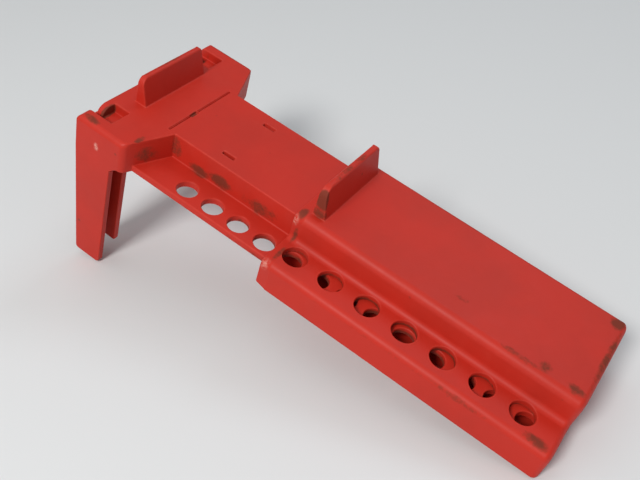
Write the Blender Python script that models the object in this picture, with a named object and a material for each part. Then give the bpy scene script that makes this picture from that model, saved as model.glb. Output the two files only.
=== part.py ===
"""Two-piece telescoping lockout for a ball valve's lever handle.

The inner slide is an inverted channel with a T-shaped head, two legs that stand either side of
the pipe, and a side rail with padlock holes. The outer sleeve slides along it and closes over
the end of the lever. Its own rail has holes at a different pitch, so that some pair of holes
lines up at nearly every setting and a shackle through them locks the length.

Frame: +X along the slide from the head to the tail, +Z up, legs down. The origin is on the
underside of the slide's top plate, on the centre-line, where the lever's grip rests.
"""
import math

import bmesh
import bpy

MM = 0.001

# Slide: the channel
PLATE_WALL = 2.7 * MM            # thickness of the top plate and of the side walls
PLATE_HALF = 19.6 * MM           # half of the channel's outer width
CHANNEL_DEPTH = 11.7 * MM        # underside of the top plate down to the foot of the walls
SLIDE_FRONT = -85.6 * MM         # where the channel meets the head
SLIDE_TAIL = 87.4 * MM
RAIL_THICKNESS = 3.0 * MM
RAIL_WIDTH = 15.9 * MM           # how far the lock rail stands out of the channel
FOOT_WIDTH = 2.4 * MM            # guide foot on the other side
SLOT_LENGTH = 5.6 * MM
SLOT_WIDTH = 1.8 * MM
SLOT_FROM_HEAD = 21.4 * MM
SLOT_OFFSET = 13.2 * MM          # each side of the centre-line

# Slide: the lock holes
SLIDE_HOLE_DIAMETER = 8.6 * MM
SLIDE_HOLE_PITCH = 12.5 * MM
SLIDE_HOLE_COUNT = 13
FIRST_HOLE_FROM_HEAD = 16.3 * MM
HOLE_LINE_FROM_PLATE = 9.8 * MM  # channel's outer wall to the line of holes
HOLE_SEGMENTS = 24

# Slide: the head
CHEEK_HALF = 40.0 * MM           # centre-line to the outer face of each cheek
HEAD_WALL = 2.8 * MM
ARM_SWEEP = math.radians(21.7)   # the arms' front faces lean back towards the cheeks
CHEEK_RADIUS = 3.0 * MM
CHEEK_LENGTH = 32.0 * MM         # channel end to the back of the cheeks
REAR_WALL_FROM_CHANNEL = 27.4 * MM
REAR_WALL_THICKNESS = 3.2 * MM
SLIT_WIDTH = 2.6 * MM            # from each end of the rear wall to the cheek
REAR_WALL_RADIUS = 5.0 * MM
DECK_LENGTH = 19.9 * MM          # channel end to the edge of the pockets
POCKET_DEPTH = 4.0 * MM
POCKET_LENGTH = 9.6 * MM         # across the slide
CHEEK_WIDTH = 6.4 * MM           # cheek's outer face to the pocket beside it

# Slide: the legs, each an open-fronted channel
LEG_LENGTH = 58.0 * MM           # below the foot of the channel
LEG_TOP_WIDTH = 18.1 * MM
LEG_TIP_WIDTH = 13.3 * MM
LEG_DEPTH = 11.3 * MM            # across a leg, from the cheek's face to the pipe's side
LEG_INNER_WALL = 2.7 * MM
LEG_INNER_SHORTFALL = 8.4 * MM   # the inner wall stops this far above the tip

# Thumb fins
FIN_BASE = 5.4 * MM
FIN_TIP = 2.5 * MM
FIN_LEAN = 0.3 * MM              # how far the fin's plain side stands in at the tip
SLIDE_FIN_HEIGHT = 12.0 * MM
SLIDE_FIN_FROM_CHANNEL = 18.3 * MM
SLIDE_FIN_HALF = 17.8 * MM
FIN_OFFSET = 1.2 * MM            # both fins sit this far towards the foot side
FIN_ROOT = 1.0 * MM              # how far a fin is sunk into its body before it is joined

# Sleeve
RUN_CLEARANCE = 0.4 * MM         # between the slide and the sleeve, each side
RIM_CLEARANCE = 1.0 * MM         # between the rail's edge and the sleeve
SLEEVE_WALL = 2.8 * MM
SLEEVE_TOP_WALL = 3.1 * MM
SLEEVE_RAIL_WALL = 2.5 * MM
SLEEVE_RIM_WALL = 3.2 * MM
SLEEVE_LENGTH = 120.0 * MM
SLEEVE_END_WALL = 3.0 * MM
TAIL_CLEARANCE = 2.8 * MM        # slide's tail to the sleeve's end wall at rest
HANDLE_SPACE = 4.6 * MM          # below the slide's rails, inside the sleeve
LEDGE_WIDTH = 1.7 * MM           # ledges that carry the rail and the foot
LIP_LENGTH = 5.0 * MM            # tapered mouth of the sleeve
LIP_DROP = 1.8 * MM
SLEEVE_HOLE_DIAMETER = 9.8 * MM
SLEEVE_HOLE_PITCH = 16.0 * MM
SLEEVE_HOLE_COUNT = 7
SLEEVE_FIRST_HOLE = 8.7 * MM     # behind the sleeve's front edge
SLEEVE_FIN_HEIGHT = 13.5 * MM
SLEEVE_FIN_HALF = 19.2 * MM

CUT_MARGIN = 1.0 * MM            # how far a cutter runs past the face that it cuts
CORNER_STEPS = 6

# Levels and places that follow
PLATE_TOP = PLATE_WALL
FOOT = -CHANNEL_DEPTH
RAIL_TOP = FOOT + RAIL_THICKNESS
RAIL_EDGE = -PLATE_HALF - RAIL_WIDTH
HOLE_LINE = -PLATE_HALF - HOLE_LINE_FROM_PLATE
INNER_HALF = PLATE_HALF - PLATE_WALL
FOOT_EDGE = PLATE_HALF + FOOT_WIDTH
CHEEK_REAR = SLIDE_FRONT - CHEEK_LENGTH
POCKET_HALF = CHEEK_HALF - CHEEK_WIDTH
REAR_WALL_HALF = POCKET_HALF - SLIT_WIDTH
LEG_GAP_HALF = CHEEK_HALF - LEG_DEPTH
REAR_WALL_FRONT = SLIDE_FRONT - REAR_WALL_FROM_CHANNEL
REAR_WALL_REAR = REAR_WALL_FRONT - REAR_WALL_THICKNESS
POCKET_FLOOR = PLATE_TOP - POCKET_DEPTH
DECK_REAR = SLIDE_FRONT - DECK_LENGTH
LEG_TIP = FOOT - LEG_LENGTH
SLEEVE_REAR = SLIDE_TAIL + TAIL_CLEARANCE + SLEEVE_END_WALL
SLEEVE_FRONT = SLEEVE_REAR - SLEEVE_LENGTH
CEILING = PLATE_TOP + RUN_CLEARANCE
SLEEVE_TOP = CEILING + SLEEVE_TOP_WALL
SLEEVE_RAIL_CEILING = RAIL_TOP + RUN_CLEARANCE
SLEEVE_RAIL_TOP = SLEEVE_RAIL_CEILING + SLEEVE_RAIL_WALL
LEDGE_TOP = FOOT - RUN_CLEARANCE
SLEEVE_FLOOR = LEDGE_TOP - HANDLE_SPACE
SLEEVE_BOTTOM = SLEEVE_FLOOR - SLEEVE_WALL
SLEEVE_LEFT = -PLATE_HALF - RUN_CLEARANCE
SLEEVE_RIGHT = FOOT_EDGE + RUN_CLEARANCE
SLEEVE_RIM = RAIL_EDGE - RIM_CLEARANCE


def remove_scene_objects():
    for obj in list(bpy.data.objects):
        bpy.data.objects.remove(obj, do_unlink=True)


def moulded_plastic(name, colour):
    material = bpy.data.materials.new(name)
    material.use_nodes = True
    shader = material.node_tree.nodes["Principled BSDF"]
    shader.inputs["Base Color"].default_value = colour
    shader.inputs["Roughness"].default_value = 0.45
    shader.inputs["Metallic"].default_value = 0.0
    return material


def body_from_rings(name, rings):
    """A closed body skinned over rings of points, each with as many points as the last."""
    mesh = bmesh.new()
    loops = [[mesh.verts.new(point) for point in ring] for ring in rings]
    count = len(loops[0])
    for near, far in zip(loops, loops[1:]):
        for i in range(count):
            j = (i + 1) % count
            mesh.faces.new((near[i], near[j], far[j], far[i]))
    mesh.faces.new(loops[0][::-1])
    mesh.faces.new(loops[-1])
    bmesh.ops.recalc_face_normals(mesh, faces=mesh.faces)
    data = bpy.data.meshes.new(name)
    mesh.to_mesh(data)
    mesh.free()
    obj = bpy.data.objects.new(name, data)
    bpy.context.collection.objects.link(obj)
    return obj


def prism_x(name, outline, x_from, x_to):
    return body_from_rings(name, [[(x, y, z) for y, z in outline] for x in (x_from, x_to)])


def prism_y(name, outline, y_from, y_to):
    return body_from_rings(name, [[(x, y, z) for x, z in outline] for y in (y_from, y_to)])


def prism_z(name, outline, z_from, z_to):
    return body_from_rings(name, [[(x, y, z) for x, y in outline] for z in (z_from, z_to)])


def box(name, low, high):
    corners = [(low[0], low[1]), (high[0], low[1]), (high[0], high[1]), (low[0], high[1])]
    return prism_z(name, corners, low[2], high[2])


def round_cutter(name, x, y, diameter, z_from, z_to):
    steps = [2 * math.pi * i / HOLE_SEGMENTS for i in range(HOLE_SEGMENTS)]
    circle = [(x + diameter / 2 * math.cos(a), y + diameter / 2 * math.sin(a)) for a in steps]
    return prism_z(name, circle, z_from, z_to)


def combine(body, operation, *helpers):
    """Join helpers to a body, or cut them from it, and keep them as wire guides."""
    for helper in helpers:
        helper.hide_render = True
        helper.display_type = "WIRE"
        modifier = body.modifiers.new(helper.name, "BOOLEAN")
        modifier.operation = operation
        modifier.solver = "EXACT"
        modifier.object = helper


def arc(centre, radius, start, end):
    """Points of an arc in a plane, from one angle to another."""
    sweep = [start + (end - start) * i / CORNER_STEPS for i in range(CORNER_STEPS + 1)]
    return [(centre[0] + radius * math.cos(a), centre[1] + radius * math.sin(a)) for a in sweep]


def both_sides(outline):
    """An outline given for positive y, closed by its mirror image."""
    return outline + [(x, -y) for x, y in reversed(outline)]


def arm_front(y, inset=0.0):
    """The x of an arm's swept front face at a distance y from the centre-line."""
    return SLIDE_FRONT - (y - PLATE_HALF) * math.tan(ARM_SWEEP) - inset / math.cos(ARM_SWEEP)


def slide_section():
    return [
        (RAIL_EDGE, FOOT), (RAIL_EDGE, RAIL_TOP), (-PLATE_HALF, RAIL_TOP),
        (-PLATE_HALF, PLATE_TOP), (PLATE_HALF, PLATE_TOP), (PLATE_HALF, RAIL_TOP),
        (FOOT_EDGE, RAIL_TOP), (FOOT_EDGE, FOOT), (INNER_HALF, FOOT),
        (INNER_HALF, 0.0), (-INNER_HALF, 0.0), (-INNER_HALF, FOOT),
    ]


def head_plan():
    """The T-shaped head from above; the cheeks reach back past the wall that joins them."""
    turn = math.pi / 2 - ARM_SWEEP
    tangent = CHEEK_RADIUS * math.tan(turn / 2)
    corner = arm_front(CHEEK_HALF)
    centre = (corner - tangent, CHEEK_HALF - CHEEK_RADIUS)
    rounded = arc(centre, CHEEK_RADIUS, ARM_SWEEP, math.pi / 2)
    rear = [(CHEEK_REAR, CHEEK_HALF), (CHEEK_REAR, POCKET_HALF), (REAR_WALL_FRONT, POCKET_HALF)]
    return both_sides([(SLIDE_FRONT, PLATE_HALF)] + rounded + rear)


def head_hollow():
    """The space inside the head, open below, between the legs' inner walls."""
    front = arm_front(INNER_HALF, HEAD_WALL)
    inside = [
        (front, INNER_HALF), (arm_front(LEG_GAP_HALF, HEAD_WALL), LEG_GAP_HALF),
        (REAR_WALL_FRONT, LEG_GAP_HALF),
    ]
    return prism_z("head_hollow", both_sides(inside), FOOT - CUT_MARGIN, -POCKET_DEPTH)


def head_channel():
    """Carries the slide's channel on through the head, for the lever."""
    low = (REAR_WALL_FRONT, -INNER_HALF, FOOT - CUT_MARGIN)
    return box("head_channel", low, (SLIDE_FRONT + CUT_MARGIN, INNER_HALF, 0.0))


def rear_wall():
    centre = (REAR_WALL_HALF - REAR_WALL_RADIUS, PLATE_TOP - REAR_WALL_RADIUS)
    right = arc(centre, REAR_WALL_RADIUS, 0.0, math.pi / 2)
    left = [(-y, z) for y, z in reversed(right)]
    outline = [(REAR_WALL_HALF, FOOT)] + right + left + [(-REAR_WALL_HALF, FOOT)]
    return prism_x("rear_wall", outline, REAR_WALL_REAR, REAR_WALL_FRONT)


def thumb_fin(name, base_front, base, height, half_width):
    """A fin across the body whose working face slopes back towards the tip."""
    base_rear = base_front - FIN_BASE
    tip_rear = base_rear + FIN_LEAN
    outline = [
        (base_rear, base - FIN_ROOT), (base_front, base - FIN_ROOT), (base_front, base),
        (tip_rear + FIN_TIP, base + height), (tip_rear, base + height),
    ]
    return prism_y(name, outline, FIN_OFFSET - half_width, FIN_OFFSET + half_width)


def leg(side, label):
    """One leg, its taper even about its middle, running up into the head."""
    middle = CHEEK_REAR + LEG_TOP_WIDTH / 2
    taper = (LEG_TOP_WIDTH - LEG_TIP_WIDTH) / 2
    outline = [
        (middle - LEG_TOP_WIDTH / 2, POCKET_FLOOR), (middle - LEG_TOP_WIDTH / 2, FOOT),
        (middle - LEG_TOP_WIDTH / 2 + taper, LEG_TIP), (middle + LEG_TOP_WIDTH / 2 - taper, LEG_TIP),
        (middle + LEG_TOP_WIDTH / 2, FOOT), (middle + LEG_TOP_WIDTH / 2, POCKET_FLOOR),
    ]
    return prism_y("leg_" + label, outline, side * LEG_GAP_HALF, side * CHEEK_HALF)


def leg_channel(side, label):
    """The hollow of a leg: open at the front and below, closed by a web at the back."""
    inner = side * (LEG_GAP_HALF + LEG_INNER_WALL)
    outer = side * (CHEEK_HALF - HEAD_WALL)
    taper = (LEG_TOP_WIDTH - LEG_TIP_WIDTH) / 2
    web = CHEEK_REAR + HEAD_WALL
    past_tip = LEG_TIP - CUT_MARGIN
    outline = [
        (web, -POCKET_DEPTH), (web, FOOT), (web + taper, LEG_TIP), (web + taper, past_tip),
        (SLIDE_FRONT, past_tip), (SLIDE_FRONT, FOOT),
        (arm_front(CHEEK_HALF, HEAD_WALL) - CHEEK_RADIUS, FOOT),
        (arm_front(CHEEK_HALF, HEAD_WALL) - CHEEK_RADIUS, -POCKET_DEPTH),
    ]
    return prism_y("leg_channel_" + label, outline, inner, outer)


def leg_step(side, label):
    """Shortens the inner wall and the web, so that only the outer wall reaches the ground."""
    sides = sorted((side * (LEG_GAP_HALF - CUT_MARGIN), side * (CHEEK_HALF - HEAD_WALL)))
    low = (CHEEK_REAR - CUT_MARGIN, sides[0], LEG_TIP - CUT_MARGIN)
    high = (SLIDE_FRONT, sides[1], LEG_TIP + LEG_INNER_SHORTFALL)
    return box("leg_step_" + label, low, high)


def rear_pocket(side, label):
    """The recess behind the deck, outboard of the thumb fin."""
    sides = sorted((side * (POCKET_HALF - POCKET_LENGTH), side * POCKET_HALF))
    low = (REAR_WALL_FRONT, sides[0], POCKET_FLOOR)
    return box("rear_pocket_" + label, low, (DECK_REAR, sides[1], PLATE_TOP + CUT_MARGIN))


def rear_slit(side, label):
    """The gap between the end of the rear wall and the cheek."""
    sides = sorted((side * REAR_WALL_HALF, side * POCKET_HALF))
    low = (CHEEK_REAR - CUT_MARGIN, sides[0], POCKET_FLOOR)
    return box("rear_slit_" + label, low, (REAR_WALL_FRONT + CUT_MARGIN, sides[1], PLATE_TOP + CUT_MARGIN))


def corner_clearance(side, label):
    """Takes the head back to the rear wall's rounded top corner."""
    centre = (side * (REAR_WALL_HALF - REAR_WALL_RADIUS), PLATE_TOP - REAR_WALL_RADIUS)
    bend = arc(centre, REAR_WALL_RADIUS, math.pi / 2, math.pi / 2 * (1 - side))
    outside = [
        (side * REAR_WALL_HALF, PLATE_TOP + CUT_MARGIN),
        (side * (REAR_WALL_HALF - REAR_WALL_RADIUS), PLATE_TOP + CUT_MARGIN),
    ]
    return prism_x("corner_clearance_" + label, bend + outside, CHEEK_REAR - CUT_MARGIN, REAR_WALL_FRONT)


def plate_slot(side, label):
    centre_x = SLIDE_FRONT + SLOT_FROM_HEAD
    low = (centre_x - SLOT_LENGTH / 2, side * SLOT_OFFSET - SLOT_WIDTH / 2, -CUT_MARGIN)
    high = (centre_x + SLOT_LENGTH / 2, side * SLOT_OFFSET + SLOT_WIDTH / 2, PLATE_TOP + CUT_MARGIN)
    return box("plate_slot_" + label, low, high)


def slide_hole(index):
    x = SLIDE_FRONT + FIRST_HOLE_FROM_HEAD + index * SLIDE_HOLE_PITCH
    low = FOOT - CUT_MARGIN
    return round_cutter(f"slide_hole_{index + 1}", x, HOLE_LINE, SLIDE_HOLE_DIAMETER,
                        low, RAIL_TOP + CUT_MARGIN)


def make_slide(material):
    front = arm_front(-RAIL_EDGE, HEAD_WALL / 2)
    body = prism_x("inner_slide", slide_section(), front, SLIDE_TAIL)
    fin_front = SLIDE_FRONT - SLIDE_FIN_FROM_CHANNEL
    combine(
        body, "UNION",
        prism_z("head_block", head_plan(), FOOT, PLATE_TOP),
        leg(1, "far"), leg(-1, "near"), rear_wall(),
    )
    combine(body, "DIFFERENCE", head_hollow(), head_channel())
    for side, label in ((1, "far"), (-1, "near")):
        combine(body, "DIFFERENCE", leg_channel(side, label), leg_step(side, label))
        combine(body, "DIFFERENCE", rear_pocket(side, label), rear_slit(side, label))
        combine(body, "DIFFERENCE", corner_clearance(side, label), plate_slot(side, label))
    combine(body, "UNION", thumb_fin("slide_fin", fin_front, PLATE_TOP, SLIDE_FIN_HEIGHT, SLIDE_FIN_HALF))
    combine(body, "DIFFERENCE", *[slide_hole(i) for i in range(SLIDE_HOLE_COUNT)])
    body.data.materials.append(material)
    return body


def sleeve_outline(inset):
    """The sleeve's outer section, drawn in by an inset at its mouth."""
    left, right = SLEEVE_LEFT - SLEEVE_WALL, SLEEVE_RIGHT + SLEEVE_WALL
    rim = SLEEVE_RIM - SLEEVE_RIM_WALL
    return [
        (rim + inset, SLEEVE_BOTTOM + inset), (rim + inset, SLEEVE_RAIL_TOP - inset),
        (left + inset, SLEEVE_RAIL_TOP - inset), (left + inset, SLEEVE_TOP - inset),
        (right - inset, SLEEVE_TOP - inset), (right - inset, SLEEVE_BOTTOM + inset),
    ]


def sleeve_bore_section():
    return [
        (SLEEVE_RIM, LEDGE_TOP), (SLEEVE_RIM, SLEEVE_RAIL_CEILING),
        (SLEEVE_LEFT, SLEEVE_RAIL_CEILING), (SLEEVE_LEFT, CEILING), (SLEEVE_RIGHT, CEILING),
        (SLEEVE_RIGHT, LEDGE_TOP), (SLEEVE_RIGHT - LEDGE_WIDTH, LEDGE_TOP),
        (SLEEVE_RIGHT - LEDGE_WIDTH, SLEEVE_FLOOR), (SLEEVE_RIM + LEDGE_WIDTH, SLEEVE_FLOOR),
        (SLEEVE_RIM + LEDGE_WIDTH, LEDGE_TOP),
    ]


def sleeve_hole(index):
    x = SLEEVE_FRONT + SLEEVE_FIRST_HOLE + index * SLEEVE_HOLE_PITCH
    low = SLEEVE_BOTTOM - CUT_MARGIN
    return round_cutter(f"sleeve_hole_{index + 1}", x, HOLE_LINE, SLEEVE_HOLE_DIAMETER,
                        low, SLEEVE_RAIL_TOP + CUT_MARGIN)


def make_sleeve(material):
    mouth, full = sleeve_outline(LIP_DROP), sleeve_outline(0.0)
    lip = SLEEVE_FRONT + LIP_LENGTH
    places = ((SLEEVE_FRONT, mouth), (lip, full), (SLEEVE_REAR, full))
    body = body_from_rings("outer_sleeve", [[(x, y, z) for y, z in ring] for x, ring in places])
    bore = prism_x("sleeve_bore", sleeve_bore_section(),
                   SLEEVE_FRONT - CUT_MARGIN, SLEEVE_REAR - SLEEVE_END_WALL)
    fin_front = lip + FIN_BASE
    combine(body, "UNION", thumb_fin("sleeve_fin", fin_front, SLEEVE_TOP, SLEEVE_FIN_HEIGHT, SLEEVE_FIN_HALF))
    combine(body, "DIFFERENCE", bore, *[sleeve_hole(i) for i in range(SLEEVE_HOLE_COUNT)])
    body.data.materials.append(material)
    return body


def main():
    remove_scene_objects()
    make_slide(moulded_plastic("slide_plastic", (0.47, 0.028, 0.018, 1.0)))
    make_sleeve(moulded_plastic("sleeve_plastic", (0.45, 0.026, 0.017, 1.0)))


main()
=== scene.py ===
import math
import bmesh
import bpy
from mathutils import Matrix, Vector
from mathutils.bvhtree import BVHTree


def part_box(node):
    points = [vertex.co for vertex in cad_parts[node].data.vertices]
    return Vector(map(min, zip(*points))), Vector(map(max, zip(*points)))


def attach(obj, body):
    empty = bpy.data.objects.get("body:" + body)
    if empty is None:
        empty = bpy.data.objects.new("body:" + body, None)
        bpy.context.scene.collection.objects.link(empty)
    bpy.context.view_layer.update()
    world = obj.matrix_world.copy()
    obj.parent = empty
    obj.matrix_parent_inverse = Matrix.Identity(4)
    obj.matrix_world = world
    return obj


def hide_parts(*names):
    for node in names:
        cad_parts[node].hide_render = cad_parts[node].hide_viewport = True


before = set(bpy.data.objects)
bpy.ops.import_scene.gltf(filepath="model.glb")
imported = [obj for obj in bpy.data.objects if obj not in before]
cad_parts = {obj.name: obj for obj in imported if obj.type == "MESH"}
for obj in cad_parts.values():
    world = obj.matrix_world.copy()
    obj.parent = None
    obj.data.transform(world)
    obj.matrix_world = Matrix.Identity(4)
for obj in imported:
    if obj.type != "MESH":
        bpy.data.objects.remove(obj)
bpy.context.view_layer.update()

mm = 0.001
slideLow, slideHigh = (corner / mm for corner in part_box("inner_slide"))
sleeveLow, sleeveHigh = (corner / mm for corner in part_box("outer_sleeve"))
print("frame loaded")

# Shapes are drawn in millimetres on the frame's own axes, and turned to metres once finished.


def solid(name, rings):
    # skins a closed body over rings of points
    mesh = bmesh.new()
    loops = [[mesh.verts.new(p) for p in ring] for ring in rings]
    count = len(loops[0])
    for near, far in zip(loops, loops[1:]):
        for i in range(count):
            mesh.faces.new((near[i], near[(i + 1) % count], far[(i + 1) % count], far[i]))
    mesh.faces.new(loops[0][::-1])
    mesh.faces.new(loops[-1])
    bmesh.ops.recalc_face_normals(mesh, faces=mesh.faces)
    data = bpy.data.meshes.new(name)
    mesh.to_mesh(data)
    mesh.free()
    obj = bpy.data.objects.new(name, data)
    bpy.context.scene.collection.objects.link(obj)
    return obj


def prism(name, along, outline, start, end):
    # an outline in the other two axes, pushed along one axis
    place = {"x": lambda a, u, v: (a, u, v), "y": lambda a, u, v: (u, a, v), "z": lambda a, u, v: (u, v, a)}
    return solid(name, [[place[along](a, u, v) for u, v in outline] for a in (start, end)])


def box(name, low, high):
    return prism(name, "z", [(low[0], low[1]), (high[0], low[1]), (high[0], high[1]), (low[0], high[1])],
                 low[2], high[2])


def arc(centre, radius, start, end, steps=8):
    turns = [math.radians(start + (end - start) * i / steps) for i in range(steps + 1)]
    return [(centre[0] + radius * math.cos(t), centre[1] + radius * math.sin(t)) for t in turns]


def roundEdges(obj, radius, pick, steps=6):
    # fillets the edges whose middle and direction the pick function accepts
    mesh = bmesh.new()
    mesh.from_mesh(obj.data)
    chosen = [e for e in mesh.edges if pick((e.verts[0].co + e.verts[1].co) / 2,
                                            (e.verts[1].co - e.verts[0].co).normalized())]
    bmesh.ops.bevel(mesh, geom=chosen, offset=radius, offset_type="OFFSET", segments=steps, profile=0.5,
                    affect="EDGES", clamp_overlap=False)
    bmesh.ops.recalc_face_normals(mesh, faces=mesh.faces)
    mesh.to_mesh(obj.data)
    mesh.free()
    return obj


def plainMesh(obj):
    # replaces an object's mesh with what its modifiers make of it
    evaluated = obj.evaluated_get(bpy.context.evaluated_depsgraph_get())
    data = bpy.data.meshes.new_from_object(evaluated)
    obj.modifiers.clear()
    old = obj.data
    obj.data = data
    bpy.data.meshes.remove(old)


def combine(body, operation, *tools):
    for tool in tools:
        modifier = body.modifiers.new(tool.name, "BOOLEAN")
        modifier.operation = operation
        modifier.solver = "EXACT"
        modifier.object = tool
    bpy.context.view_layer.update()
    plainMesh(body)
    for tool in tools:
        bpy.data.objects.remove(tool)


def cleanMesh(obj):
    # takes out the doubles and the spare edges that joining leaves on flat faces
    mesh = bmesh.new()
    mesh.from_mesh(obj.data)
    bmesh.ops.remove_doubles(mesh, verts=mesh.verts, dist=0.02)
    bmesh.ops.dissolve_degenerate(mesh, edges=mesh.edges, dist=0.02)
    bmesh.ops.dissolve_limit(mesh, angle_limit=math.radians(0.6), verts=mesh.verts, edges=mesh.edges)
    mesh.to_mesh(obj.data)
    mesh.free()


def finishMoulding(obj, edgeRadius, edgeSteps=3):
    # breaks every edge left sharp, as a mould does, and evens the shading of the flats
    cleanMesh(obj)
    surface = BVHTree.FromObject(obj, bpy.context.evaluated_depsgraph_get())
    bevel = obj.modifiers.new("broken edges", "BEVEL")
    bevel.width = edgeRadius
    bevel.segments = edgeSteps
    bevel.limit_method = "ANGLE"
    bevel.angle_limit = math.radians(32)
    bevel.use_clamp_overlap = False
    plainMesh(obj)
    # where short edges make the bevel overshoot, its points go back to the face they left
    for vertex in obj.data.vertices:
        near, _, _, distance = surface.find_nearest(vertex.co)
        if distance > edgeRadius * 0.75:
            vertex.co = near
    obj.data.transform(Matrix.Scale(mm, 4))
    obj.data.shade_smooth()
    obj.data.set_sharp_from_angle(angle=math.radians(48))
    weighted = obj.modifiers.new("weighted normals", "WEIGHTED_NORMAL")
    weighted.keep_sharp = True
    weighted.weight = 80
    plainMesh(obj)


# Rows of padlock holes: one Geometry Nodes tree makes both rows of cutters

def addNode(tree, kind, settings=None, **inputs):
    # adds a node, sets its properties, then sets or links its named or numbered inputs
    node = tree.nodes.new(kind)
    for key, value in (settings or {}).items():
        setattr(node, key, value)
    for key, value in inputs.items():
        socket = node.inputs[int(key[1:])] if key[1:].isdigit() else node.inputs[key.replace("_", " ")]
        if isinstance(value, bpy.types.NodeSocket):
            tree.links.new(value, socket)
        else:
            socket.default_value = value
    return node


def holeRowTree():
    tree = bpy.data.node_groups.new("hole row", "GeometryNodeTree")
    face = tree.interface
    face.new_socket("Geometry", in_out="INPUT", socket_type="NodeSocketGeometry")
    for name, kind in (("Count", "Int"), ("Pitch", "Float"), ("Diameter", "Float"), ("Depth", "Float"),
                       ("Start", "Vector"), ("Material", "Material")):
        face.new_socket(name, in_out="INPUT", socket_type="NodeSocket" + kind)
    face.new_socket("Geometry", in_out="OUTPUT", socket_type="NodeSocketGeometry")
    inside = tree.nodes.new("NodeGroupInput").outputs
    step = addNode(tree, "ShaderNodeCombineXYZ", X=inside["Pitch"])
    row = addNode(tree, "GeometryNodeMeshLine", Count=inside["Count"], Start_Location=inside["Start"],
                  Offset=step.outputs[0])
    half = addNode(tree, "ShaderNodeMath", {"operation": "MULTIPLY"}, i0=inside["Diameter"], i1=0.5)
    drill = addNode(tree, "GeometryNodeMeshCylinder", {"fill_type": "NGON"}, Vertices=56,
                    Radius=half.outputs[0], Depth=inside["Depth"])
    copies = addNode(tree, "GeometryNodeInstanceOnPoints", Points=row.outputs[0], Instance=drill.outputs[0])
    real = addNode(tree, "GeometryNodeRealizeInstances", Geometry=copies.outputs[0])
    dressed = addNode(tree, "GeometryNodeSetMaterial", Geometry=real.outputs[0], Material=inside["Material"])
    out = tree.nodes.new("NodeGroupOutput")
    tree.links.new(dressed.outputs[0], out.inputs[0])
    return tree


holeRows = holeRowTree()


def holeRow(name, count, pitch, diameter, depth, start, material):
    obj = bpy.data.objects.new(name, bpy.data.meshes.new(name))
    bpy.context.scene.collection.objects.link(obj)
    modifier = obj.modifiers.new("hole row", "NODES")
    modifier.node_group = holeRows
    values = {"Count": count, "Pitch": pitch, "Diameter": diameter, "Depth": depth, "Start": start,
              "Material": material}
    for item in holeRows.interface.items_tree:
        if item.in_out == "INPUT" and item.name in values:
            modifier[item.identifier] = values[item.name]
    bpy.context.view_layer.update()
    plainMesh(obj)
    return obj


# Materials

def fromHex(code):
    parts = [int(code[i:i + 2], 16) / 255 for i in (1, 3, 5)]
    return tuple(c / 12.92 if c <= 0.04045 else ((c + 0.055) / 1.055) ** 2.4 for c in parts) + (1.0,)


def patchMask(tree, position, patch):
    # 1 at the patch's middle, fading to 0 at its edge; the last number is its strength
    (x, y, z), (sx, sy, sz), strength = patch
    moved = addNode(tree, "ShaderNodeVectorMath", {"operation": "SUBTRACT"}, i0=position,
                    i1=(x * mm, y * mm, z * mm))
    scaled = addNode(tree, "ShaderNodeVectorMath", {"operation": "MULTIPLY"}, i0=moved.outputs[0],
                     i1=(1 / (sx * mm), 1 / (sy * mm), 1 / (sz * mm)))
    far = addNode(tree, "ShaderNodeVectorMath", {"operation": "LENGTH"}, i0=scaled.outputs[0])
    fade = addNode(tree, "ShaderNodeMapRange", {"interpolation_type": "SMOOTHSTEP"},
                   i0=far.outputs["Value"], i1=0.25, i2=1.0, i3=strength, i4=0.0)
    return fade.outputs[0]


def maths(tree, operation, a, b):
    return addNode(tree, "ShaderNodeMath", {"operation": operation}, i0=a, i1=b).outputs[0]


def mixColour(tree, amount, under, over):
    return addNode(tree, "ShaderNodeMix", {"data_type": "RGBA"}, i0=amount, i6=under, i7=over).outputs[2]


def noise(tree, position, size, detail=3.0, rough=0.55):
    # size is the width of one blotch, in millimetres
    return addNode(tree, "ShaderNodeTexNoise", Vector=position, Scale=1 / (size * mm), Detail=detail,
                   Roughness=rough).outputs["Fac"]


def band(tree, value, low, high):
    return addNode(tree, "ShaderNodeMapRange", {"interpolation_type": "SMOOTHSTEP"}, i0=value, i1=low,
                   i2=high, i3=0.0, i4=1.0).outputs[0]


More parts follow.
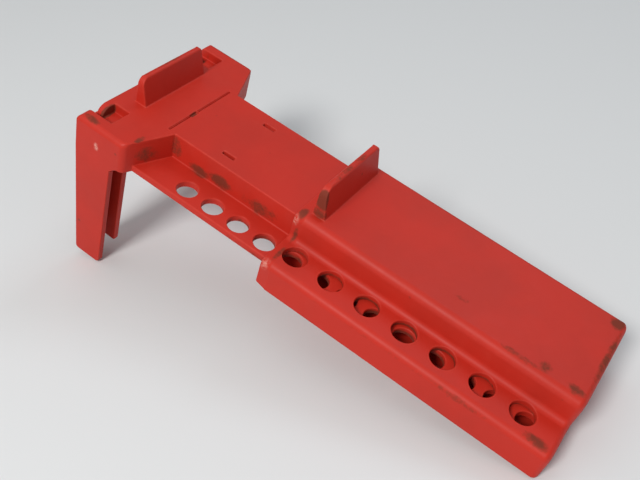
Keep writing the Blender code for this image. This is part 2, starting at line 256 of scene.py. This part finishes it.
def mouldedNylon(name, look, dirtAndShadePatches, scuffsAndGlints):
    # Glass-free nylon from a spark-eroded mould: an even red with a faint grain, a soft satin sheen, pale
    # edges that are partly rubbed and partly painted highlight, and brown grease mixed with painted shade
    # that stays in corners and holes and where hands and floors touch it.
    material = bpy.data.materials.new(name)
    material.use_nodes = True
    tree = material.node_tree
    shader = tree.nodes["Principled BSDF"]
    place = tree.nodes.new("ShaderNodeTexCoord").outputs["Object"]
    cloud = noise(tree, place, 28.0, 4.0)
    mottle = noise(tree, place, 5.0, 4.0, 0.6)
    fine = noise(tree, place, 1.3, 3.0, 0.6)
    colour = mixColour(tree, band(tree, cloud, 0.35, 0.7), fromHex(look["red"]), fromHex(look["warmRed"]))
    colour = mixColour(tree, maths(tree, "MULTIPLY", band(tree, mottle, 0.5, 0.75), look["mottle"]), colour,
                       fromHex(look["paleRed"]))
    # rubbed edges and painted highlight: paler where the rounded normal leaves the true one
    rounded = addNode(tree, "ShaderNodeBevel", {"samples": 6}, Radius=look["edgeWidth"] * mm).outputs[0]
    truth = tree.nodes.new("ShaderNodeNewGeometry").outputs["True Normal"]
    match = addNode(tree, "ShaderNodeVectorMath", {"operation": "DOT_PRODUCT"}, i0=rounded, i1=truth)
    edge = addNode(tree, "ShaderNodeMapRange", i0=match.outputs["Value"], i1=0.995, i2=0.86, i3=0.0,
                   i4=1.0).outputs[0]
    # painted shade: ambient occlusion picks out the closed-in corners, which are darkened toward the grime
    # colour below
    clear = addNode(tree, "ShaderNodeAmbientOcclusion", {"samples": 8, "only_local": True},
                    Distance=look["cornerReach"] * mm).outputs["AO"]
    corner = band(tree, clear, 0.62, 0.2)
    raised = maths(tree, "MULTIPLY", edge, band(tree, clear, 0.45, 0.75))
    rubbedAndHighlight = maths(tree, "MULTIPLY", raised, band(tree, mottle, 0.3, 0.62))
    colour = mixColour(tree, maths(tree, "MULTIPLY", rubbedAndHighlight, look["rubAndHighlight"]), colour, fromHex(look["rubbedAndHighlightRed"]))
    # grease and painted shade: thin in the occluded corners, thicker in named places, broken up by the
    # blotches
    greaseAndShade = maths(tree, "MULTIPLY", corner, look["cornerShadeAndGrease"])
    for patch in dirtAndShadePatches:
        greaseAndShade = maths(tree, "MAXIMUM", greaseAndShade, patchMask(tree, place, patch))
    ragged = maths(tree, "ADD", greaseAndShade, maths(tree, "MULTIPLY", maths(tree, "SUBTRACT", mottle, 0.5), 1.1))
    ragged = maths(tree, "ADD", ragged, maths(tree, "MULTIPLY", maths(tree, "SUBTRACT", fine, 0.5), 0.7))
    grimeAndShade = maths(tree, "MULTIPLY", band(tree, ragged, 0.22, 0.85), band(tree, greaseAndShade, 0.02, 0.25))
    depth = maths(tree, "MULTIPLY", grimeAndShade, look["grimeAndShadeDepth"])
    colour = mixColour(tree, depth, colour, fromHex(look["grimeAndShade"]))
    # stray specks, about one every couple of centimetres
    spot = addNode(tree, "ShaderNodeTexVoronoi", {"feature": "F1"}, Vector=place, Scale=1 / (9.0 * mm),
                   Randomness=1.0)
    speck = band(tree, spot.outputs["Distance"], 0.105, 0.05)
    chosen = band(tree, noise(tree, place, 11.0, 1.0), 0.55, 0.62)
    speck = maths(tree, "MULTIPLY", speck, chosen)
    colour = mixColour(tree, maths(tree, "MULTIPLY", speck, look["specks"]), colour, fromHex(look["grimeAndShade"]))
    # pale scuffs; on the sleeve's rounded front edges they are partly painted highlight
    for patch in scuffsAndGlints:
        mark = maths(tree, "MULTIPLY", patchMask(tree, place, patch), band(tree, fine, 0.35, 0.6))
        colour = mixColour(tree, mark, colour, fromHex(look["scuffAndGlint"]))
    tree.links.new(colour, shader.inputs["Base Color"])
    sheen = maths(tree, "ADD", maths(tree, "MULTIPLY", mottle, 0.16), look["roughness"] - 0.08)
    sheen = maths(tree, "ADD", sheen, maths(tree, "MULTIPLY", grimeAndShade, 0.22))
    sheen = maths(tree, "SUBTRACT", sheen, maths(tree, "MULTIPLY", rubbedAndHighlight, 0.06))
    tree.links.new(sheen, shader.inputs["Roughness"])
    shader.inputs["IOR"].default_value = 1.53
    shader.inputs["Specular IOR Level"].default_value = 0.22
    # the grain is 0.5 mm across and a few hundredths deep, with shallow sink marks over centimetres
    grain = noise(tree, place, 0.55, 2.0)
    sinks = noise(tree, place, 20.0, 2.0)
    height = maths(tree, "ADD", maths(tree, "MULTIPLY", grain, 0.05), maths(tree, "MULTIPLY", sinks, 0.5))
    height = maths(tree, "ADD", height, maths(tree, "MULTIPLY", grimeAndShade, 0.04))
    bump = addNode(tree, "ShaderNodeBump", Strength=0.5, Distance=1.0 * mm, Height=height)
    tree.links.new(bump.outputs[0], shader.inputs["Normal"])
    return material


nylonLook = {
    "red": "#BE2A1C", "warmRed": "#B52A1D", "paleRed": "#C03A2C", "rubbedAndHighlightRed": "#CB5443", "grimeAndShade": "#54301F",
    "scuffAndGlint": "#DB9A8C", "mottle": 0.2, "edgeWidth": 1.2, "cornerReach": 5.0, "rubAndHighlight": 0.45,
    "cornerShadeAndGrease": 0.3, "grimeAndShadeDepth": 0.74, "specks": 0.5, "roughness": 0.5,
}


# The inner slide

slide = {
    "plateTop": 2.7, "plateHalf": 19.6, "wall": 2.7, "foot": -11.7, "railTop": -8.7, "railEdge": -35.5,
    "footEdge": 22.0, "neck": -85.6, "armSweep": 21.7, "headWall": 2.8, "cheekRadius": 3.0,
    "cheekTopRadius": 2.4, "rearWallFront": -113.0, "rearWallRear": -116.2, "rearWallHalf": 31.0,
    "rearWallRadius": 5.0, "deckRear": -105.5, "pocketFloor": -1.3, "hollowRoof": -4.0,
    "pocketStart": 24.0, "pocketHalf": 33.6, "legTopWidth": 18.1, "legTipWidth": 13.3,
    "legGapHalf": 28.7, "legInnerWall": 2.7, "legStep": 8.4, "gussetReach": 3.6, "gussetDrop": 2.9,
    "finFront": -103.9, "finBase": 5.4, "finTip": 2.4, "finLean": 0.3, "finFrom": -16.6, "finTo": 19.4,
    "finRake": 0.8, "finNearRound": 3.4, "finFarRound": 1.4, "finTipRound": 0.8, "legTipRound": 1.6,
    "neckGroove": ((-89.7, -89.1), (-19.2, 18.6), 0.35), "neckNick": ((-90.0, -88.5), (-6.4, -2.2), 1.1),
    "holeLine": -29.4, "firstHole": -69.3, "holePitch": 12.5, "holeCount": 13, "holeDepth": 9.0,
    "holeDiameter": 8.6, "slotX": -64.2, "slotY": 13.2, "slotLength": 5.6, "slotWidth": 1.8,
    "edgeRadius": 0.45,
}
slideTail = slideHigh.x
legTip = slideLow.z
cheekHalf = slideHigh.y
cheekRear = slideLow.x
slideFinTop = slideHigh.z


def armFront(y, inset=0.0):
    s = math.radians(slide["armSweep"])
    return slide["neck"] - (y - slide["plateHalf"]) * math.tan(s) - inset / math.cos(s)


def bothSides(outline):
    return outline + [(x, -y) for x, y in reversed(outline)]


def slideSection():
    s = slide
    inner = s["plateHalf"] - s["wall"]
    return [(s["railEdge"], s["foot"]), (s["railEdge"], s["railTop"]), (-s["plateHalf"], s["railTop"]),
            (-s["plateHalf"], s["plateTop"]), (s["plateHalf"], s["plateTop"]), (s["plateHalf"], s["railTop"]),
            (s["footEdge"], s["railTop"]), (s["footEdge"], s["foot"]), (inner, s["foot"]), (inner, 0.0),
            (-inner, 0.0), (-inner, s["foot"])]


def headOutline(inset):
    # the T-shaped head from above; an inset draws in the cheeks but leaves the arms' front faces
    s = slide
    outer = cheekHalf - inset
    turn = math.radians(90 - s["armSweep"])
    middle = (armFront(outer) - s["cheekRadius"] * math.tan(turn / 2), outer - s["cheekRadius"])
    corner = arc(middle, s["cheekRadius"], s["armSweep"], 90)
    rear = cheekRear + inset
    behind = [(rear, outer), (rear, s["pocketHalf"]), (s["rearWallFront"], s["pocketHalf"])]
    return bothSides([(s["neck"], s["plateHalf"])] + corner + behind)


def headBlock():
    # the cheeks' top edges are rounded by drawing the outline in as it rises
    s = slide
    radius = s["cheekTopRadius"]
    levels = [(s["foot"], 0.0)]
    for step in range(8):
        turn = math.radians(90 * step / 7)
        levels.append((s["plateTop"] - radius + radius * math.sin(turn), radius * (1 - math.cos(turn))))
    return solid("head block", [[(x, y, z) for x, y in headOutline(inset)] for z, inset in levels])


def rearWall():
    s = slide
    middle = (s["rearWallHalf"] - s["rearWallRadius"], s["plateTop"] - s["rearWallRadius"])
    right = arc(middle, s["rearWallRadius"], 0, 90)
    outline = [(s["rearWallHalf"], s["foot"])] + right + [(-y, z) for y, z in reversed(right)]
    outline.append((-s["rearWallHalf"], s["foot"]))
    return prism("rear wall", "x", outline, s["rearWallRear"], s["rearWallFront"])


def thumbFin(name, front, base, top, yFrom, yTo, piece):
    # a wedge across the piece: its working face slopes, and its far end rakes in towards the tip
    rear = front - piece["finBase"]
    tipRear = rear + piece["finLean"]
    rings = [(base - 1.0, rear, front, yTo), (base, rear, front, yTo),
             (top, tipRear, tipRear + piece["finTip"], yTo - piece["finRake"])]
    fin = solid(name, [[(rear, yFrom, z), (rear, y, z), (front, y, z), (front, yFrom, z)]
                       for z, rear, front, y in rings])

    def nearCorner(middle, direction):
        return abs(direction.x) > 0.9 and middle.z > top - 0.1 and middle.y < 0

    def farCorner(middle, direction):
        return abs(direction.x) > 0.9 and middle.z > top - 0.1 and middle.y > 0

    roundEdges(fin, piece["finNearRound"], nearCorner, 6)
    roundEdges(fin, piece["finFarRound"], farCorner, 5)

    def tipEdge(middle, direction):
        return middle.z > top - 0.1 and abs(direction.x) < 0.5

    return roundEdges(fin, piece["finTipRound"], tipEdge, 3)


def legBlock(side):
    s = slide
    middle, taper = cheekRear + s["legTopWidth"] / 2, (s["legTopWidth"] - s["legTipWidth"]) / 2
    half = s["legTopWidth"] / 2
    outline = [(middle - half, s["pocketFloor"]), (middle - half, s["foot"]), (middle - half + taper, legTip),
               (middle + half - taper, legTip), (middle + half, s["foot"]), (middle + half, s["pocketFloor"])]
    inner, outer = side * s["legGapHalf"], side * cheekHalf
    block = prism("leg", "y", outline, min(inner, outer), max(inner, outer))

    def tipCorner(middle, direction):
        return abs(direction.y) > 0.9 and middle.z < legTip + 0.1

    return roundEdges(block, s["legTipRound"], tipCorner, 4)


def gusset(side):
    # the leg's outer wall runs up into the arm on a slant
    s = slide
    front = cheekRear + s["legTopWidth"]
    outline = [(front - 1.5, s["foot"] - s["gussetDrop"]), (front, s["foot"] - s["gussetDrop"]),
               (front + s["gussetReach"] * 0.45, s["foot"] - s["gussetDrop"] * 0.42),
               (front + s["gussetReach"], s["foot"] + 0.2), (front - 1.5, s["foot"] + 0.2)]
    inner, outer = side * (cheekHalf - s["headWall"]), side * cheekHalf
    return prism("gusset", "y", outline, min(inner, outer), max(inner, outer))


def legHollow(side):
    s = slide
    inner = side * (s["legGapHalf"] + s["legInnerWall"])
    outer = side * (cheekHalf - s["headWall"])
    taper = (s["legTopWidth"] - s["legTipWidth"]) / 2
    web = cheekRear + s["headWall"]
    roof = armFront(cheekHalf, s["headWall"]) - 3.0
    low = legTip - 1.0
    outline = [(web, s["hollowRoof"]), (web, s["foot"]), (web + taper, legTip), (web + taper, low),
               (s["neck"], low), (s["neck"], s["foot"]), (roof, s["foot"]), (roof, s["hollowRoof"])]
    return prism("leg hollow", "y", outline, min(inner, outer), max(inner, outer))


def spanBox(name, xs, ys, zs):
    return box(name, (min(xs), min(ys), min(zs)), (max(xs), max(ys), max(zs)))


def slideCuts():
    s = slide
    inner = s["plateHalf"] - s["wall"]
    hollow = bothSides([(armFront(inner, s["headWall"]), inner),
                        (armFront(s["legGapHalf"], s["headWall"]), s["legGapHalf"]),
                        (s["rearWallFront"], s["legGapHalf"])])
    above = s["plateTop"] + 1
    slotReach = s["slotLength"] / 2
    cuts = [prism("head hollow", "z", hollow, s["foot"] - 1, s["hollowRoof"]),
            spanBox("head channel", (s["rearWallFront"], s["neck"] + 1), (-inner, inner), (s["foot"] - 1, 0))]
    # the fine line across the neck, and the nick in it
    for name in ("neckGroove", "neckNick"):
        xs, ys, depth = s[name]
        cuts.append(spanBox(name, xs, ys, (s["plateTop"] - depth, above)))
    for side in (-1, 1):
        cuts.append(legHollow(side))
        cuts.append(spanBox("leg step", (cheekRear - 1, s["neck"]),
                            (side * (s["legGapHalf"] - 1), side * (cheekHalf - s["headWall"])),
                            (legTip - 1, legTip + s["legStep"])))
        cuts.append(spanBox("rear pocket", (s["rearWallFront"], s["deckRear"]),
                            (side * s["pocketStart"], side * s["pocketHalf"]), (s["pocketFloor"], above)))
        cuts.append(spanBox("rear slit", (cheekRear - 1, s["rearWallFront"] + 0.5),
                            (side * s["rearWallHalf"], side * s["pocketHalf"]), (s["pocketFloor"], above)))
        cuts.append(spanBox("plate slot", (s["slotX"] - slotReach, s["slotX"] + slotReach),
                            (side * s["slotY"] - s["slotWidth"] / 2, side * s["slotY"] + s["slotWidth"] / 2),
                            (-1, above)))
    return cuts


def makeSlide(material):
    s = slide
    body = prism("slide", "x", slideSection(), armFront(-s["railEdge"], s["headWall"] / 2), slideTail)
    combine(body, "UNION", headBlock(), legBlock(1), legBlock(-1), gusset(1), gusset(-1), rearWall())
    combine(body, "DIFFERENCE", *slideCuts())
    fin = thumbFin("slide fin", s["finFront"], s["plateTop"], slideFinTop, s["finFrom"], s["finTo"], s)
    combine(body, "UNION", fin)
    middle = s["foot"] + 1.5
    holes = holeRow("slide holes", s["holeCount"], s["holePitch"], s["holeDiameter"],
                    s["holeDepth"], (s["firstHole"], s["holeLine"], middle), material)
    combine(body, "DIFFERENCE", holes)
    finishMoulding(body, s["edgeRadius"])
    body.data.materials.clear()
    body.data.materials.append(material)
    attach(body, "slide")
    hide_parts("inner_slide")


# The outer sleeve

sleeve = {
    "wall": 2.8, "railTop": -5.8, "leftWall": -20.0, "rim": -36.5, "ceiling": 3.1, "topWall": 3.1,
    "railCeiling": -8.3, "ledgeTop": -12.1, "floor": -16.7, "ledge": 1.7, "endWall": 3.0, "lip": 5.0,
    "lipDrop": 1.0, "topRadius": 3.4, "valleyRadius": 2.6, "rimRadius": 3.0, "rearRadius": 2.4,
    "baseRadius": 0.8, "sideRadius": 2.0, "finBase": 5.4, "finTip": 2.6, "finLean": 0.3, "finFrom": -17.8,
    "finTo": 20.9, "finRake": 1.8, "finNearRound": 4.2, "finFarRound": 1.6, "finTipRound": 0.8,
    "holeLine": -29.4, "firstHole": -18.1, "holePitch": 16.0, "holeCount": 7, "holeDepth": 40.0,
    "holeDiameter": 9.8, "edgeRadius": 0.38,
}
sleeveTop = sleeve["ceiling"] + sleeve["topWall"]


def sleeveOutline(inset):
    # the outer section with its edges already rounded, drawn in by an inset
    s = sleeve
    rim, base = sleeveLow.y + inset, sleeveLow.z + inset * 0.3
    top, rail = sleeveTop - inset, s["railTop"] - inset
    left, right = s["leftWall"] - s["wall"] + inset, sleeveHigh.y - inset
    r, b, t, v, w = s["rimRadius"], s["baseRadius"], s["topRadius"], s["valleyRadius"], s["sideRadius"]
    points = arc((rim + b, base + b), b, 270, 180, 5)
    points += arc((rim + r, rail - r), r, 180, 90, 9)
    points += arc((left - v, rail + v), v, 270, 360, 7)
    points += arc((left + t, top - t), t, 180, 90, 9)
    points += arc((right - w, top - w), w, 90, 0, 7)
    points += arc((right - b, base + b), b, 0, -90, 5)
    return points


def sleeveBore():
    s = sleeve
    right = sleeveHigh.y - s["wall"]
    outline = [(s["rim"], s["ledgeTop"]), (s["rim"], s["railCeiling"]), (s["leftWall"], s["railCeiling"]),
               (s["leftWall"], s["ceiling"]), (right, s["ceiling"]), (right, s["ledgeTop"]),
               (right - s["ledge"], s["ledgeTop"]), (right - s["ledge"], s["floor"]),
               (s["rim"] + s["ledge"], s["floor"]), (s["rim"] + s["ledge"], s["ledgeTop"])]
    return prism("sleeve bore", "x", outline, sleeveLow.x - 1, sleeveHigh.x - s["endWall"])


def sleeveShell():
    s = sleeve
    mouth, lipEnd, rear, r = sleeveLow.x, sleeveLow.x + s["lip"], sleeveHigh.x, s["rearRadius"]
    places = [(mouth, s["lipDrop"] + 0.3), (mouth + 0.5, s["lipDrop"] - 0.1), (lipEnd - 0.9, 0.28),
              (lipEnd, 0.02)]
    turns = [math.radians(90 * i / 7) for i in range(8)]
    places += [(rear - r + r * math.sin(t), 0.02 + r * (1 - math.cos(t))) for t in turns]
    return solid("sleeve", [[(x, y, z) for y, z in sleeveOutline(inset)] for x, inset in places])


def makeSleeve(material):
    s = sleeve
    body = sleeveShell()
    fin = thumbFin("sleeve fin", sleeveLow.x + s["lip"] + s["finBase"], sleeveTop, sleeveHigh.z, s["finFrom"],
                   s["finTo"], s)
    combine(body, "UNION", fin)
    holes = holeRow("sleeve holes", s["holeCount"], s["holePitch"], s["holeDiameter"],
                    s["holeDepth"], (s["firstHole"], s["holeLine"], s["railTop"]), material)
    combine(body, "DIFFERENCE", sleeveBore(), holes)
    finishMoulding(body, s["edgeRadius"])
    body.data.materials.clear()
    body.data.materials.append(material)
    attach(body, "sleeve")
    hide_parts("outer_sleeve")


# Where each piece is greasy, painted with shade, or scuffed and painted with highlight: middle, reach each
# way, strength, in millimetres
slideDirtAndShade = [
    ((-109.0, 0.0, 15.2), (3.0, 30.0, 1.3), 0.6),      # along the fin's tip
    ((-113.2, -28.0, 0.0), (1.6, 8.0, 4.5), 1.2),      # front of the rear wall, at its ends: grease and painted shade
    ((-113.2, 28.0, 0.0), (1.6, 8.0, 4.5), 1.1),
    ((-116.5, 0.0, 2.9), (2.5, 40.0, 1.4), 0.5),
    ((-90.0, -30.0, -4.5), (7.0, 9.0, 6.0), 0.62),     # arm's front face beside the rail
    ((-92.0, -33.0, 2.9), (2.4, 6.0, 0.9), 0.75),
    ((-72.0, -19.8, -7.0), (9.0, 2.0, 3.8), 0.78),     # smear on the near wall
    ((-62.0, -19.8, -5.5), (9.0, 2.0, 4.6), 0.85),
    ((-42.0, -19.8, -5.5), (14.0, 2.0, 5.0), 0.58),
    ((-84.0, -19.8, -3.0), (4.0, 2.0, 8.0), 0.7),
    ((-89.3, -4.2, 2.0), (1.6, 3.0, 1.2), 1.1),        # the nick in the neck's line
    ((-112.0, -37.5, 2.6), (7.0, 2.6, 1.6), 0.66),
    ((-106.0, -29.5, 2.4), (1.6, 5.0, 0.8), 0.8),
    ((-105.0, 39.0, 2.2), (16.0, 1.6, 1.6), 0.6),
    ((5.0, -29.4, -11.0), (110.0, 14.0, 2.3), 0.8),      # painted shade inside the lock holes
]
slideScuffs = [((-106.8, -40.0, -6.5), (1.5, 1.5, 2.6), 0.8)]
sleeveDirtAndShade = [
    ((-19.6, 1.0, 20.2), (3.0, 28.0, 1.3), 0.62),      # fin's tip
    ((-19.0, -18.0, 15.0), (4.5, 2.6, 8.0), 1.25),     # fin's handled end
    ((-19.5, -17.5, 8.0), (5.0, 2.6, 4.0), 0.75),
    ((-24.5, -19.5, 5.2), (3.0, 5.0, 3.0), 0.8),
    ((-23.8, -23.0, -3.0), (1.8, 6.0, 6.0), 0.7),
    ((-23.5, -32.0, -6.0), (1.8, 9.0, 1.6), 0.66),
    ((91.8, 2.0, 5.9), (2.6, 26.0, 1.8), 0.66),        # rear edge of the top
    ((89.5, 21.5, 6.2), (4.5, 5.0, 2.0), 0.9),
    ((88.0, -18.5, 5.0), (7.0, 3.6, 3.0), 0.8),
    ((66.0, -19.8, 6.0), (13.0, 2.0, 1.6), 0.62),
    ((76.0, -17.5, 6.2), (4.0, 4.5, 1.0), 0.55),
    ((86.0, -36.5, -6.2), (8.0, 3.6, 1.6), 0.7),
    ((58.0, -39.0, -8.0), (22.0, 1.6, 2.0), 0.5),
    ((40.0, -12.0, 6.2), (6.0, 2.4, 0.8), 0.42),
    ((30.0, 24.0, 5.2), (45.0, 2.0, 1.6), 0.45),
    ((31.0, -29.4, -8.3), (90.0, 14.0, 2.5), 0.95),     # painted shade inside the lock holes
]
# pale marks on the mouth's rounded edges: scuffs and painted highlight
sleeveScuffsAndGlints = [((-26.0, -21.5, 2.5), (2.4, 3.0, 3.0), 0.6), ((-25.0, -38.3, -8.0), (2.6, 2.4, 3.5), 0.6)]

makeSlide(mouldedNylon("moulded nylon, slide", nylonLook, slideDirtAndShade, slideScuffs))
print("slide finished")
makeSleeve(mouldedNylon("moulded nylon, sleeve", nylonLook, sleeveDirtAndShade, sleeveScuffsAndGlints))
print("sleeve finished")


# Floor, light and camera. The part stands on the tips of its legs and the sleeve's rear edge.

stand = {
    "floor": "#D9DBDC", "size": 2.4, "toe": -101.9, "heelInset": 1.0, "lens": 46.84, "roll": 1.68,
    "look": (-0.2577, 0.66893, -0.69723), "eye": (64.0, -224.5, 212.15),
}
toes = Vector((stand["toe"], 0, legTip))
heel = Vector((sleeveHigh.x - stand["heelInset"], 0, sleeveLow.z))
slope = math.atan2(heel.z - toes.z, heel.x - toes.x)
floorUp = Vector((-math.sin(slope), 0, math.cos(slope)))
floorTurn = Matrix.Rotation(-slope, 3, "Y")


def makeFloor():
    half = stand["size"] / 2
    middle = (toes + heel) / 2 * mm - floorUp * 0.0004
    flat = [(-half, -half), (half, -half), (half, half), (-half, half)]
    data = bpy.data.meshes.new("floor")
    data.from_pydata([middle + floorTurn @ Vector((x, y, 0)) for x, y in flat], [], [(0, 1, 2, 3)])
    floor = bpy.data.objects.new("floor", data)
    bpy.context.scene.collection.objects.link(floor)
    paper = bpy.data.materials.new("matt paper")     # plain matt card
    paper.use_nodes = True
    shader = paper.node_tree.nodes["Principled BSDF"]
    shader.inputs["Base Color"].default_value = fromHex(stand["floor"])
    shader.inputs["Roughness"].default_value = 0.9
    shader.inputs["Specular IOR Level"].default_value = 0.2
    data.materials.append(paper)


def softLamp(name, direction, distance, size, power, colour):
    lamp = bpy.data.lights.new(name, "AREA")
    lamp.shape = "DISK"
    lamp.size = size
    lamp.energy = power
    lamp.color = fromHex(colour)[:3]
    obj = bpy.data.objects.new(name, lamp)
    bpy.context.scene.collection.objects.link(obj)
    away = (floorTurn @ Vector(direction)).normalized()
    obj.location = away * distance
    obj.rotation_euler = away.to_track_quat("Z", "Y").to_euler()


def makeCamera():
    camera = bpy.data.cameras.new("camera")
    camera.lens = stand["lens"]
    camera.clip_start = 0.01
    obj = bpy.data.objects.new("camera", camera)
    bpy.context.scene.collection.objects.link(obj)
    look = Vector(stand["look"]).normalized()
    right = look.cross(floorUp).normalized()
    up = right.cross(look)
    roll = math.radians(stand["roll"])
    turned = right * math.cos(roll) + up * math.sin(roll)
    upright = turned.cross(look)
    turn = Matrix((turned, upright, -look)).transposed()
    obj.matrix_world = Matrix.Translation(Vector(stand["eye"]) * mm) @ turn.to_4x4()
    bpy.context.scene.camera = obj


makeFloor()
softLamp("key", (0.05, -1.15, 1.05), 1.1, 0.3, 8.5, "#FFFDFA")
softLamp("window", (0.3, 0.95, 1.25), 1.2, 0.5, 2.2, "#F4F8FF")
softLamp("ceiling", (-0.4, 0.1, 1.3), 1.3, 1.2, 2.0, "#FFFFFF")
makeCamera()

world = bpy.data.worlds.new("studio")
world.use_nodes = True
world.node_tree.nodes["Background"].inputs["Color"].default_value = fromHex("#F2F4F5")
world.node_tree.nodes["Background"].inputs["Strength"].default_value = 0.4
bpy.context.scene.world = world
bpy.context.scene.view_settings.view_transform = "Standard"
print("floor, light and camera set")
